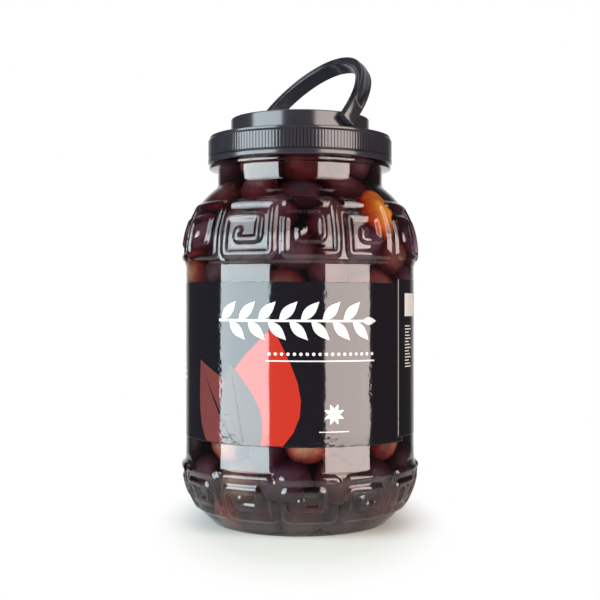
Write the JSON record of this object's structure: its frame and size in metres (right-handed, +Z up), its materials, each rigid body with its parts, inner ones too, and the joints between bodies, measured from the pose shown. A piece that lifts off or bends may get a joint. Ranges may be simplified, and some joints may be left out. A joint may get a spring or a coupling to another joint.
{
  "type": "tub of black olives",
  "caption": "Clear round screw-top jar filled with dark olives in brine, with a wrap label, a ribbed lid and a swinging carrying handle.",
  "frame": {"origin": "on the jar's axis, at the floor that its foot ring stands on", "axes": "+Z up along the jar's axis; -Y towards the front of the label"},
  "size_m": [0.1506, 0.1506, 0.2988],
  "materials": {
    "clear_bottle": "clear blown PET, glossy",
    "olives_in_brine": "dark olives in wine-coloured brine",
    "wrap_label": "glossy printed film",
    "black_lid": "moulded polypropylene, glossy black",
    "black_handle": "moulded polypropylene, glossy black"
  },
  "bodies": {
    "tub": {"jar": "clear_bottle", "contents": "olives_in_brine", "label": "wrap_label", "lid": "black_lid"},
    "carry_handle": {"handle": "black_handle"}
  },
  "joints": [
    {"name": "handle_swing", "type": "hinge", "parent": "tub", "child": "carry_handle", "pos_m": [0, 0, 0.25037], "axis": [0.6018, -0.7986, 0], "range_deg": [-53.5, 126.5]}
  ]
}
